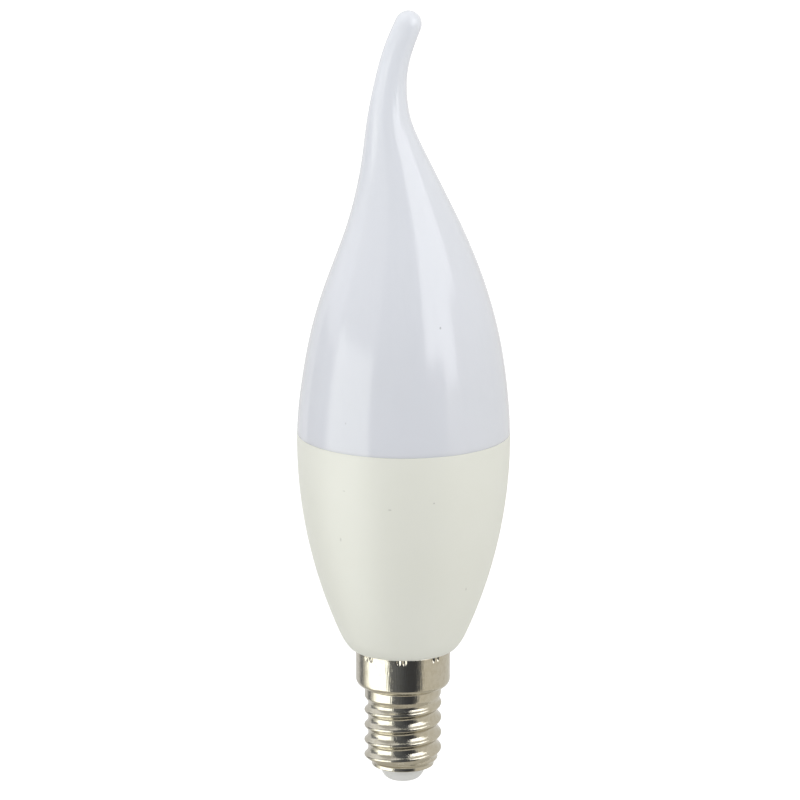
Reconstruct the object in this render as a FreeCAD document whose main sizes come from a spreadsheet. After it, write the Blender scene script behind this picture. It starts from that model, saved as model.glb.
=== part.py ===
"""Flame-tip LED candle lamp on a 14 mm small screw cap.

Axes: +Z up the lamp's axis, cap down, the flame tip leaning towards +X.
Origin: on the axis, at the flat end of the centre contact.
Units: millimetres and degrees.
"""

import FreeCAD, Part
import math
import os
import Sketcher
from FreeCAD import Placement, Rotation, Vector

SIZES = {
    # Screw cap: pressed shell with a skirt, a shoulder, a threaded sleeve and a
    # curled end; the skirt is pinched on the housing's collar by paired dents
    "cap_height": 25.0,
    "sheet": 0.3,
    "skirt_radius": 8.5,
    "skirt_length": 5.5,
    "shoulder_height": 2.2,
    "shoulder_knee_inset": 0.4,
    "shoulder_knee_drop": 0.75,
    "thread_radius": 6.925,
    "thread_depth": 0.78,
    "curl_height": 2.1,
    "curl_high_inset": 0.775,
    "curl_high_drop": 1.1,
    "curl_low_inset": 1.725,
    "curl_low_drop": 1.85,
    "lip_inset": 2.825,
    "lip_level": 2.6,
    "dent_width": 0.55,
    "dent_height": 0.7,
    "dent_depth": 0.16,
    "dent_spacing": 1.1,
    "dent_edge_gap": 0.45,
    "dent_pairs": 8,
    # Insulator and centre contact
    "nose_end_margin": 0.8,
    "nose_knee_inset": 0.65,
    "nose_knee_drop": 1.35,
    "flange_overlap": 1.2,
    "flange_thickness": 1.0,
    "contact_thickness": 0.3,
    "contact_radius": 1.3,
    "contact_chamfer": 0.1,
    "shank_radius": 0.7,
    "shank_length": 3.1,
    # Housing and the lower part of the diffuser share one long outer arc
    "body_radius": 19.1,
    "body_sweep": 88.0,
    "seam_level": 65.1,
    "widest_drop": 1.1,
    "seam_chamfer": 0.2,
    "rim_overhang": 0.45,
    "foot_knee_out": 0.8,
    "foot_knee_rise": 0.45,
    "foot_rise": 1.4,
    "neck_gap": 0.4,
    "socket_wall": 1.6,
    "socket_depth": 4.0,
    "belly_rise": 36.0,
    # Fits
    "spigot_clearance": 0.1,
    "collar_clearance": 0.08,
    "neck_clearance": 0.08,
    "insulator_clearance": 0.05,
    "shank_clearance": 0.03,
}

# Equal straight sides that stand for the long arc below and above the seam
HOUSING_FACETS = 5
BELLY_FACETS = 5

# Sections of the bent flame, from the top of the long arc to the tip: rise
# above the seam, sideways offset of the centre line, radius, lean in degrees
FLAME_SECTIONS = {
    "flame_waist": (44.0, -1.05, 7.85, -8.0),
    "flame_throat": (51.0, -2.1, 5.45, -8.5),
    "flame_neck": (56.5, -2.75, 3.97, -4.0),
    "flame_stem": (61.0, -2.7, 3.18, 3.5),
    "flame_turn": (66.0, -2.05, 2.65, 12.0),
    "flame_end": (73.8, 0.5, 2.4, 20.0),
    "crown_low": (75.4, 1.1, 2.0, 20.0),
    "crown_top": (76.2, 1.4, 1.1, 20.0),
}


class Length:
    """A value with the sheet formula it comes from, so that both stay equal."""

    def __init__(self, value, formula):
        self.value = value
        self.formula = formula

    def _join(self, other, sign, value):
        right = other.formula if isinstance(other, Length) else repr(other)
        return Length(value, f"({self.formula} {sign} {right})")

    def __add__(self, other):
        return self._join(other, "+", self.value + number(other))

    def __sub__(self, other):
        return self._join(other, "-", self.value - number(other))

    def __mul__(self, other):
        return self._join(other, "*", self.value * number(other))

    def __truediv__(self, other):
        return self._join(other, "/", self.value / number(other))

    def __rmul__(self, other):
        return self * other

    def squared(self):
        """Return the length times itself."""
        return Length(self.value ** 2, f"({self.formula} ^ 2)")

    def root(self):
        """Return the square root."""
        return Length(math.sqrt(self.value), f"sqrt({self.formula})")


def number(item):
    """Return the plain value of a Length or of a number."""
    return item.value if isinstance(item, Length) else float(item)


def make_sheet(doc):
    """Fill the sheet with the driving sizes, one named cell to a row."""
    sheet = doc.addObject("Spreadsheet::Sheet", "Sizes")
    named = dict(SIZES)
    for name, (rise, offset, radius, lean) in FLAME_SECTIONS.items():
        named[f"{name}_rise"] = rise
        named[f"{name}_offset"] = offset
        named[f"{name}_radius"] = radius
        named[f"{name}_lean"] = lean
    for row, (alias, value) in enumerate(named.items(), start=1):
        sheet.set(f"A{row}", alias)
        sheet.set(f"B{row}", str(value))
        sheet.setAlias(f"B{row}", alias)
    doc.recompute()
    return {alias: Length(value, f"Sizes.{alias}") for alias, value in named.items()}


def make_body(doc, label):
    """Add a named body and return it."""
    body = doc.addObject("PartDesign::Body", label)
    body.Label = label
    body.Placement = Placement()
    return body


def plane(body, role):
    """Return one of the body's own origin planes or axes."""
    return next(item for item in body.Origin.OriginFeatures if item.Role == role)


def make_sketch(body, name, role="XZ_Plane"):
    """Add a sketch on one of the body's own origin planes."""
    sketch = body.newObject("Sketcher::SketchObject", name)
    sketch.AttachmentSupport = [(plane(body, role), "")]
    sketch.MapMode = "FlatFace"
    return sketch


def bind(sketch, constraint, length):
    """Add a sized constraint and tie it to the sheet."""
    index = sketch.addConstraint(constraint)
    if isinstance(length, Length):
        sketch.setExpression(f"Constraints[{index}]", length.formula)


class Outline:
    """A closed half-profile of straight sides whose corners come from the sheet."""

    def __init__(self, sketch, radius, level):
        self.sketch = sketch
        self.corners = [(radius, level)]

    def line_to(self, radius, level):
        """Run a side to the next corner."""
        self.corners.append((radius, level))

    def close(self):
        """Draw the sides, join them end to end and size every corner."""
        points = [Vector(number(radius), number(level), 0) for radius, level in self.corners]
        count = len(points)
        for index, point in enumerate(points):
            following = points[(index + 1) % count]
            self.sketch.addGeometry(Part.LineSegment(point, following), False)
        for index in range(count):
            joint = Sketcher.Constraint("Coincident", index, 2, (index + 1) % count, 1)
            self.sketch.addConstraint(joint)
        for index, (radius, level) in enumerate(self.corners):
            self._place(index, "DistanceX", radius, -2)
            self._place(index, "DistanceY", level, -1)

    def _place(self, index, kind, length, axis):
        """Hold one corner at its distance from the axis or the ground plane."""
        if number(length) == 0:
            self.sketch.addConstraint(Sketcher.Constraint("PointOnObject", index, 1, axis))
        else:
            distance = Sketcher.Constraint(kind, -1, 1, index, 1, number(length))
            bind(self.sketch, distance, length)


def spin(body, kind, sketch, name):
    """Turn a half-profile about the lamp's axis, adding or removing material."""
    feature = body.newObject(f"PartDesign::{kind}", name)
    feature.Profile = sketch
    feature.ReferenceAxis = (plane(body, "Z_Axis"), [""])
    feature.Angle = 360.0
    return feature


def sweep_radius(size, level):
    """Return the radius of the body's long outer arc at a level."""
    height = level - size["seam_level"] + size["widest_drop"]
    reach = (size["body_sweep"].squared() - height.squared()).root()
    return size["body_radius"] - size["body_sweep"] + reach


def socket_radius(size):
    """Return the radius of the housing's socket, which leaves its wall at the seam."""
    return sweep_radius(size, size["seam_level"]) - size["socket_wall"]


def sleeve_bore(size):
    """Return the inner radius of the shell's threaded sleeve."""
    return size["thread_radius"] - size["thread_depth"] - size["sheet"]


def follow_sweep(outline, size, start, end, facets):
    """Run an outline up the long outer arc in equal straight sides."""
    for step in range(1, facets + 1):
        level = start + (end - start) * step / facets
        outline.line_to(sweep_radius(size, level), level)


def lip_radius(size):
    """Return the radius of the opening that the curled end leaves."""
    return size["thread_radius"] - size["lip_inset"]


def make_screw_shell(doc, size):
    """Pressed shell: skirt, shoulder, threaded sleeve and curled end."""
    body = make_body(doc, "screw_shell")
    thread = size["thread_radius"]
    skirt = size["skirt_radius"]
    skirt_bore = skirt - size["sheet"]
    shoulder_top = size["cap_height"] - size["skirt_length"]
    shoulder_foot = shoulder_top - size["shoulder_height"]
    shoulder_knee = shoulder_top - size["shoulder_knee_drop"]
    curl_top = size["lip_level"] + size["curl_height"]
    lip_inside = size["lip_level"] + size["sheet"]

    sketch = make_sketch(body, "shell_profile")
    outline = Outline(sketch, lip_radius(size), size["lip_level"])
    outline.line_to(thread - size["curl_low_inset"], curl_top - size["curl_low_drop"])
    outline.line_to(thread - size["curl_high_inset"], curl_top - size["curl_high_drop"])
    outline.line_to(thread, curl_top)
    outline.line_to(thread, shoulder_foot)
    outline.line_to(skirt - size["shoulder_knee_inset"], shoulder_knee)
    outline.line_to(skirt, shoulder_top)
    outline.line_to(skirt, size["cap_height"])
    outline.line_to(skirt_bore, size["cap_height"])
    outline.line_to(skirt_bore, shoulder_top)
    outline.line_to(sleeve_bore(size), shoulder_foot)
    outline.line_to(sleeve_bore(size), curl_top)
    outline.line_to(lip_radius(size), lip_inside)
    outline.close()
    spin(body, "Revolution", sketch, "shell_turned")
    doc.recompute()
    pinch_skirt(body, size)
    return body


def pinch_skirt(body, size):
    """Press pairs of flat dents into the skirt, evenly spaced round its rim."""
    half_width = size["dent_width"] / 2
    top = size["cap_height"] - size["dent_edge_gap"]
    foot = top - size["dent_height"]
    floor = size["skirt_radius"] - size["dent_depth"]

    sketch = make_sketch(body, "dent_pair", "YZ_Plane")
    sketch.AttachmentOffset = Placement(Vector(0, 0, number(floor)), Rotation())
    sketch.setExpression("AttachmentOffset.Base.z", floor.formula)
    for side in (-1, 1):
        centre = size["dent_spacing"] * side / 2
        draw_rectangle(sketch, centre - half_width, centre + half_width, foot, top)
    pair = body.newObject("PartDesign::Pocket", "dents")
    pair.Profile = sketch
    pair.Type = "Length"
    pair.Length = number(size["sheet"])
    pair.setExpression("Length", size["sheet"].formula)
    pair.Reversed = True
    body.Document.recompute()

    ring = body.newObject("PartDesign::PolarPattern", "dent_ring")
    ring.Originals = [pair]
    ring.Axis = (plane(body, "Z_Axis"), [""])
    ring.Angle = 360.0
    ring.Occurrences = int(number(size["dent_pairs"]))
    ring.setExpression("Occurrences", size["dent_pairs"].formula)
    body.Tip = ring
    body.Document.recompute()


def draw_rectangle(sketch, left, right, bottom, top):
    """Draw a sized upright rectangle."""
    corners = [(left, bottom), (right, bottom), (right, top), (left, top)]
    first = sketch.GeometryCount
    points = [Vector(number(across), number(up), 0) for across, up in corners]
    for index, point in enumerate(points):
        sketch.addGeometry(Part.LineSegment(point, points[(index + 1) % 4]), False)
    for index in range(4):
        joint = (first + index, 2, first + (index + 1) % 4, 1)
        sketch.addConstraint(Sketcher.Constraint("Coincident", *joint))
        kind = "Horizontal" if index % 2 == 0 else "Vertical"
        sketch.addConstraint(Sketcher.Constraint(kind, first + index))
    for index in (0, 2):
        across, up = corners[index]
        for axis, length in (("DistanceX", across), ("DistanceY", up)):
            distance = Sketcher.Constraint(axis, -1, 1, first + index, 1, number(length))
            bind(sketch, distance, length)


def make_diffuser(doc, size):
    """Opal cover: turned belly with a spigot below and a bent flame above."""
    body = make_body(doc, "diffuser")
    seam = size["seam_level"]
    chamfer = size["seam_chamfer"]
    spigot_radius = socket_radius(size) - size["spigot_clearance"]
    spigot_end = seam - size["socket_depth"] + size["spigot_clearance"]
    belly_top = seam + size["belly_rise"]

    sketch = make_sketch(body, "belly_profile")
    outline = Outline(sketch, 0, spigot_end)
    outline.line_to(spigot_radius, spigot_end)
    outline.line_to(spigot_radius, seam)
    outline.line_to(sweep_radius(size, seam) - chamfer, seam)
    outline.line_to(sweep_radius(size, seam + chamfer), seam + chamfer)
    follow_sweep(outline, size, seam + chamfer, belly_top, BELLY_FACETS)
    outline.line_to(0, belly_top)
    outline.close()
    spin(body, "Revolution", sketch, "belly")
    doc.recompute()

    sections = [make_section(body, "flame_foot", belly_top, 0, sweep_radius(size, belly_top), 0)]
    for name in FLAME_SECTIONS:
        level = seam + size[f"{name}_rise"]
        sections.append(make_section(body, name, level, size[f"{name}_offset"],
                                     size[f"{name}_radius"], size[f"{name}_lean"]))
    flame = body.newObject("PartDesign::AdditiveLoft", "flame")
    flame.Profile = sections[0]
    flame.Sections = [(section, [""]) for section in sections[1:]]
    flame.Ruled = True
    return body


def make_section(body, name, level, offset, radius, lean):
    """Draw a round section, raised, shifted and leant along the bent centre line."""
    sketch = make_sketch(body, f"section_{name}", "XY_Plane")
    sketch.addGeometry(Part.Circle(Vector(), Vector(0, 0, 1), number(radius)), False)
    sketch.addConstraint(Sketcher.Constraint("Coincident", 0, 3, -1, 1))
    bind(sketch, Sketcher.Constraint("Radius", 0, number(radius)), radius)
    turn = Rotation(Vector(0, 1, 0), number(lean))
    sketch.AttachmentOffset = Placement(Vector(number(offset), 0, number(level)), turn)
    settings = {"Base.x": offset, "Base.z": level, "Rotation.Angle": lean}
    for field, length in settings.items():
        if isinstance(length, Length):
            sketch.setExpression(f"AttachmentOffset.{field}", length.formula)
    return sketch


def make_housing(doc, size):
    """White housing: socket at the seam, long tapering wall, collar and neck."""
    body = make_body(doc, "housing")
    rim = size["cap_height"]
    rim_radius = size["skirt_radius"] + size["rim_overhang"]
    foot = rim + size["foot_rise"]
    seam = size["seam_level"]
    chamfer = size["seam_chamfer"]
    collar_radius = size["skirt_radius"] - size["sheet"] - size["collar_clearance"]
    collar_end = rim - size["skirt_length"] + size["collar_clearance"]
    neck_radius = sleeve_bore(size) - size["neck_clearance"]
    neck_end = flange_top(size) + size["neck_gap"]
    socket_floor = seam - size["socket_depth"]

    sketch = make_sketch(body, "housing_profile")
    outline = Outline(sketch, 0, neck_end)
    outline.line_to(neck_radius, neck_end)
    outline.line_to(neck_radius, collar_end)
    outline.line_to(collar_radius, collar_end)
    outline.line_to(collar_radius, rim)
    outline.line_to(rim_radius, rim)
    outline.line_to(rim_radius + size["foot_knee_out"], rim + size["foot_knee_rise"])
    outline.line_to(sweep_radius(size, foot), foot)
    follow_sweep(outline, size, foot, seam - chamfer, HOUSING_FACETS)
    outline.line_to(sweep_radius(size, seam) - chamfer, seam)
    outline.line_to(socket_radius(size), seam)
    outline.line_to(socket_radius(size), socket_floor)
    outline.line_to(0, socket_floor)
    outline.close()
    spin(body, "Revolution", sketch, "housing_turned")
    return body


def flange_seat(size):
    """Return the rise of the insulator's sloping seat and the level of its foot."""
    curl_run = sleeve_bore(size) - lip_radius(size)
    curl_slope = (size["curl_height"] - size["sheet"]) / curl_run
    foot = size["lip_level"] + size["sheet"] + size["insulator_clearance"] * 2
    return curl_slope * size["flange_overlap"], foot


def flange_top(size):
    """Return the level of the insulator's inner face."""
    rise, foot = flange_seat(size)
    return foot + rise + size["flange_thickness"]


def make_insulator(doc, size):
    """Insulating plug: a flange seated on the curled end and a rounded nose below."""
    body = make_body(doc, "insulator")
    nose_radius = lip_radius(size) - size["insulator_clearance"]
    flange_radius = lip_radius(size) + size["flange_overlap"]
    seat_rise, seat_foot = flange_seat(size)
    knee = size["lip_level"] - size["nose_knee_drop"]
    bore = size["shank_radius"] + size["shank_clearance"]
    end = size["contact_thickness"]

    sketch = make_sketch(body, "insulator_profile")
    outline = Outline(sketch, bore, end)
    outline.line_to(size["contact_radius"] + size["nose_end_margin"], end)
    outline.line_to(nose_radius - size["nose_knee_inset"], knee)
    outline.line_to(nose_radius, size["lip_level"])
    outline.line_to(nose_radius, seat_foot)
    outline.line_to(flange_radius, seat_foot + seat_rise)
    outline.line_to(flange_radius, flange_top(size))
    outline.line_to(bore, flange_top(size))
    outline.close()
    spin(body, "Revolution", sketch, "insulator_turned")
    return body


def make_centre_contact(doc, size):
    """Nickelled button whose shank is pressed up into the insulator."""
    body = make_body(doc, "centre_contact")
    head = size["contact_radius"]
    shank_end = size["contact_thickness"] + size["shank_length"]
    chamfer = size["contact_chamfer"]
    sketch = make_sketch(body, "contact_profile")
    outline = Outline(sketch, 0, 0)
    outline.line_to(head - chamfer, 0)
    outline.line_to(head, chamfer)
    outline.line_to(head, size["contact_thickness"])
    outline.line_to(size["shank_radius"], size["contact_thickness"])
    outline.line_to(size["shank_radius"], shank_end)
    outline.line_to(0, shank_end)
    outline.close()
    spin(body, "Revolution", sketch, "contact_turned")
    return body


def main():
    """Build every piece, check it and write it to the parts folder."""
    doc = FreeCAD.newDocument("candle_lamp")
    size = make_sheet(doc)
    pieces = [
        make_screw_shell(doc, size),
        make_insulator(doc, size),
        make_centre_contact(doc, size),
        make_housing(doc, size),
        make_diffuser(doc, size),
    ]
    doc.recompute()
    faulty = [item.Label for item in doc.Objects
              if "Invalid" in item.State or "Error" in item.State]
    if faulty:
        raise RuntimeError(f"features that failed: {faulty}")
    os.makedirs("parts", exist_ok=True)
    for piece in pieces:
        if piece.Shape.isNull() or not piece.Shape.isValid():
            raise RuntimeError(f"{piece.Label} has no valid shape")
    for piece in pieces:
        print(piece.Label, round(piece.Shape.Volume, 1), len(piece.Shape.Solids))
        piece.Shape.exportStep(f"parts/{piece.Label}.step")


main()
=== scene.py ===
"""Flame-tip candle lamp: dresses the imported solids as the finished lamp.

Lengths in the classes are millimetres in the solids' own frame: +Z runs up the
lamp's axis from the centre contact, and the flame tip leans towards +X.
"""

import logging
import math
from collections.abc import Sequence
from dataclasses import dataclass, field
from enum import Enum
from typing import Any

import bmesh
import bpy
import numpy as np
from mathutils import Matrix, Vector

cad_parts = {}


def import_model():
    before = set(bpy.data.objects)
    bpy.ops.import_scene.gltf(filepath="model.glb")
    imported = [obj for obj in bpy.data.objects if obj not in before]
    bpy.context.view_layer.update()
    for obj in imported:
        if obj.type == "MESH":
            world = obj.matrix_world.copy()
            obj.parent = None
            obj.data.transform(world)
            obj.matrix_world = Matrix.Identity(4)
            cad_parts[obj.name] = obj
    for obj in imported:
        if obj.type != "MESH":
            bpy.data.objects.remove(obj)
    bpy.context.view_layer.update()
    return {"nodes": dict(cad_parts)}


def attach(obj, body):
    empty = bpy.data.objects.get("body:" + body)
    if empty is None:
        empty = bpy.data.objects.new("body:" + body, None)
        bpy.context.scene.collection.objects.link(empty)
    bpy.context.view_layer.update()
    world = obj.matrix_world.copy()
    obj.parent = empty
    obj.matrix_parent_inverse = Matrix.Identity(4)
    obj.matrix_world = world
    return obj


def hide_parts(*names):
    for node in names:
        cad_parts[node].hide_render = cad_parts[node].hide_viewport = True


LOG = logging.getLogger("candle_lamp")
MM = 0.001
Outline = list[tuple[float, float]]

# Places of the colour sockets on a Mix node.
MIX_FACTOR, MIX_A, MIX_B, MIX_COLOUR = 0, 6, 7, 2

# The photograph's width in pixels, and a pixel's width at the lamp in millimetres.
PHOTO_PIXELS, PIXEL_WIDTH = 800, 0.1788


class Slot(Enum):
    """The record's material slots."""

    DIFFUSER = "opal_diffuser"
    HOUSING = "white_housing"
    SHELL = "plated_shell"
    INSULATOR = "white_insulator"
    CONTACT = "plated_contact"


# ---------------------------------------------------------------- small tools


def linear(code: str) -> tuple[float, float, float, float]:
    """Turn an sRGB hex colour to linear.

    Args:
        code: The colour as "#RRGGBB".

    Returns:
        Linear red, green and blue with an alpha of 1.
    """
    channels = [int(code[place:place + 2], 16) / 255 for place in (1, 3, 5)]
    red, green, blue = (
        value / 12.92 if value <= 0.04045 else ((value + 0.055) / 1.055) ** 2.4
        for value in channels
    )
    return red, green, blue, 1.0


def add_node(
    tree: bpy.types.NodeTree,
    kind: str,
    inputs: dict[str | int, Any] | None = None,
    **settings: Any,
) -> bpy.types.Node:
    """Add a node with its settings and links.

    Args:
        tree: The tree that gets the node.
        kind: The node's type name.
        inputs: A value, or a socket to link from, for each named input.
        **settings: Properties of the node itself.

    Returns:
        The new node.
    """
    node = tree.nodes.new(kind)
    for name, value in settings.items():
        setattr(node, name, value)
    for name, value in (inputs or {}).items():
        if isinstance(value, bpy.types.NodeSocket):
            tree.links.new(value, node.inputs[name])
        else:
            node.inputs[name].default_value = value
    return node


def new_material(
    name: str, **constants: Any
) -> tuple[bpy.types.Material, bpy.types.Node, bpy.types.NodeSocket]:
    """Start a material whose patterns are measured in millimetres.

    Args:
        name: The material's name.
        **constants: Shader inputs, with _ for each space in their names.

    Returns:
        The material, its shader, and the object's coordinates in millimetres.
    """
    material = bpy.data.materials.new(name)
    material.use_nodes = True
    tree = material.node_tree
    shader = tree.nodes["Principled BSDF"]
    for key, value in constants.items():
        shader.inputs[key.replace("_", " ")].default_value = value
    place = add_node(tree, "ShaderNodeTexCoord")
    scaled = add_node(
        tree, "ShaderNodeVectorMath",
        {0: place.outputs["Object"], "Scale": 1 / MM},
        operation="SCALE",
    )
    return material, shader, scaled.outputs[0]


def smooth_step(value: float) -> float:
    """Return an ease from 0 to 1 that starts and ends level."""
    held = min(max(value, 0.0), 1.0)
    return held**3 * (held * (6 * held - 15) + 10)


def bezier(controls: Sequence[tuple[float, float]], steps: int) -> Outline:
    """Sample a cubic curve.

    Args:
        controls: Its four control points, as radius and level.
        steps: The number of pieces that the curve is cut into.

    Returns:
        The points along the curve, both ends with them.
    """
    outline = []
    for step in range(steps + 1):
        ahead = step / steps
        back = 1 - ahead
        weights = (back**3, 3 * back**2 * ahead, 3 * back * ahead**2, ahead**3)
        outline.append(
            tuple(
                sum(weight * point[axis] for weight, point in zip(weights, controls))
                for axis in (0, 1)
            )
        )
    return outline


def rounded(corners: Sequence[tuple[float, float, float]], steps: int = 5) -> Outline:
    """Round the corners of an open outline.

    Args:
        corners: Radius, level and rounding of each corner; ends have none.
        steps: The number of sides that each rounding gets.

    Returns:
        The outline's points.
    """
    outline: Outline = []
    for index, (radius, level, rounding) in enumerate(corners):
        corner = Vector((radius, level))
        if rounding == 0 or index in (0, len(corners) - 1):
            outline.append((radius, level))
            continue
        before = (Vector(corners[index - 1][:2]) - corner).normalized()
        after = (Vector(corners[index + 1][:2]) - corner).normalized()
        half_angle = before.angle(after) / 2
        reach = rounding / math.tan(half_angle)
        inward = (before + after).normalized()
        centre = corner + inward * rounding / math.sin(half_angle)
        start = (corner + before * reach - centre).normalized()
        end = (corner + after * reach - centre).normalized()
        for step in range(steps + 1):
            spoke = start.slerp(end, step / steps)
            outline.append(tuple(centre + spoke * rounding))
    return outline


def ring_angles(columns: int) -> list[float]:
    """Return evenly spaced angles round a ring."""
    return [math.tau * column / columns for column in range(columns)]


def around(radius: float, turn: float, level: float) -> Vector:
    """Return the point at a radius, angle and level about the lamp's axis."""
    return Vector((radius * math.cos(turn), radius * math.sin(turn), level))


def turned_rings(outline: Outline, angles: Sequence[float]) -> list[list[Vector]]:
    """Turn an outline about the lamp's axis.

    Args:
        outline: Radius and level of each row; radius 0 gives a single point.
        angles: The angle of each column.

    Returns:
        One ring of points for each row.
    """
    return [
        [around(radius, turn, level) for turn in angles] if radius > 0
        else [Vector((0, 0, level))]
        for radius, level in outline
    ]


def add_object(name: str, data: bpy.types.ID) -> bpy.types.Object:
    """Add an object to the scene.

    Args:
        name: The object's name.
        data: Its mesh, camera or light.

    Returns:
        The new object.
    """
    made = bpy.data.objects.new(name, data)
    bpy.context.scene.collection.objects.link(made)
    return made


def skin(
    name: str, rings: Sequence[Sequence[Vector]], crease: float = 35.0
) -> bpy.types.Object:
    """Join rings of points into one closed mesh.

    Args:
        name: The piece's name.
        rings: The rings in order. Where the ends are rings, not single
            points, the last one joins the first.
        crease: The angle in degrees from which an edge stays sharp.

    Returns:
        The new object.
    """
    points: list[Vector] = []
    starts = []
    for ring in rings:
        starts.append(len(points))
        points.extend(point * MM for point in ring)
    count = max(len(ring) for ring in rings)
    pairs = list(zip(range(len(rings) - 1), range(1, len(rings))))
    if len(rings[0]) > 1 and len(rings[-1]) > 1:
        pairs.append((len(rings) - 1, 0))
    faces = []
    for low, high in pairs:
        here, above = starts[low], starts[high]
        for column in range(count):
            beside = (column + 1) % count
            if len(rings[low]) == 1:
                faces.append((here, above + beside, above + column))
            elif len(rings[high]) == 1:
                faces.append((here + column, here + beside, above))
            else:
                faces.append(
                    (here + column, here + beside, above + beside, above + column)
                )
    mesh = bpy.data.meshes.new(name)
    mesh.from_pydata(points, [], faces)
    shell = bmesh.new()
    shell.from_mesh(mesh)
    bmesh.ops.recalc_face_normals(shell, faces=shell.faces)
    shell.to_mesh(mesh)
    shell.free()
    mesh.shade_smooth()
    mesh.set_sharp_from_angle(angle=math.radians(crease))
    return add_object(name, mesh)


def finish_piece(
    piece: bpy.types.Object, material: bpy.types.Material, node: str
) -> bpy.types.Object:
    """Dress a piece and tie it to the frame.

    Args:
        piece: The piece.
        material: Its finish.
        node: The solid that the piece stands for.

    Returns:
        The same piece.
    """
    piece.data.materials.append(material)
    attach(piece, "root")
    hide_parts(node)
    LOG.info("%s: %d faces, %s", piece.name, len(piece.data.polygons), material.name)
    return piece


@dataclass(frozen=True)
class SmoothCurve:
    """A cubic curve through known values, level or sloped at its start.

    Attributes:
        places: Where the values are known, in rising order.
        values: The values there.
        start_slope: The slope at the first place.
    """

    places: tuple[float, ...]
    values: tuple[float, ...]
    start_slope: float = 0.0
    _slopes: list[float] = field(default_factory=list, compare=False)

    def __post_init__(self) -> None:
        """Solve for the slope at each place."""
        count = len(self.places)
        gaps = np.diff(self.places)
        rises = np.diff(self.values) / gaps
        system = np.zeros((count, count))
        right = np.zeros(count)
        system[0, 0] = 1
        right[0] = self.start_slope
        for row in range(1, count - 1):
            before, after = gaps[row - 1], gaps[row]
            system[row, row - 1:row + 2] = after, 2 * (before + after), before
            right[row] = 3 * (after * rises[row - 1] + before * rises[row])
        system[-1, -2:] = 1, 2
        right[-1] = 3 * rises[-1]
        self._slopes.extend(np.linalg.solve(system, right))

    def at(self, place: float) -> tuple[float, float]:
        """Read the curve at a place.

        Args:
            place: The place, between the first of the places and the last.

        Returns:
            The value and the slope there.
        """
        found = np.searchsorted(self.places, place) - 1
        row = int(np.clip(found, 0, len(self.places) - 2))
        gap = self.places[row + 1] - self.places[row]
        share = (place - self.places[row]) / gap
        low, high = self.values[row], self.values[row + 1]
        slope_low, slope_high = self._slopes[row] * gap, self._slopes[row + 1] * gap
        curve = 2 * (low - high) + slope_low + slope_high
        bend = 3 * (high - low) - 2 * slope_low - slope_high
        value = ((curve * share + bend) * share + slope_low) * share + low
        return value, ((3 * curve * share + 2 * bend) * share + slope_low) / gap


# ------------------------------------------------------------------- finishes


@dataclass(frozen=True)
class Mark:
    """A speck or scuff at one place on a surface.

    Attributes:
        place: Its middle, in millimetres.
        size: How far it reaches each way, in millimetres.
        strength: How much of the stain's colour its middle takes, up to 1.
    """

    place: tuple[float, float, float]
    size: tuple[float, float, float]
    strength: float


# The share of a mark's size within which its strength is full.
MARK_CORE = 0.4


def add_marks(
    tree: bpy.types.NodeTree,
    place: bpy.types.NodeSocket,
    colour: bpy.types.NodeSocket,
    stain: str,
    marks: Sequence[Mark],
) -> bpy.types.NodeSocket:
    """Stain a colour at a few places.

    Args:
        tree: The material's tree.
        place: Coordinates in millimetres.
        colour: The clean colour.
        stain: The marks' colour.
        marks: The marks.

    Returns:
        The stained colour.
    """
    for mark in marks:
        offset = add_node(
            tree, "ShaderNodeVectorMath",
            {0: place, 1: mark.place},
            operation="SUBTRACT",
        )
        shrunk = add_node(
            tree, "ShaderNodeVectorMath",
            {0: offset.outputs[0], 1: mark.size},
            operation="DIVIDE",
        )
        reach = add_node(
            tree, "ShaderNodeVectorMath",
            {0: shrunk.outputs[0]},
            operation="LENGTH",
        )
        amount = add_node(
            tree, "ShaderNodeMapRange",
            {
                "Value": reach.outputs["Value"],
                "From Min": 1.0,
                "From Max": MARK_CORE,
                "To Min": 0.0,
                "To Max": mark.strength,
            },
        )
        stained = add_node(
            tree, "ShaderNodeMix",
            {MIX_FACTOR: amount.outputs[0], MIX_A: colour, MIX_B: linear(stain)},
            data_type="RGBA",
        )
        colour = stained.outputs[MIX_COLOUR]
    return colour


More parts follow.
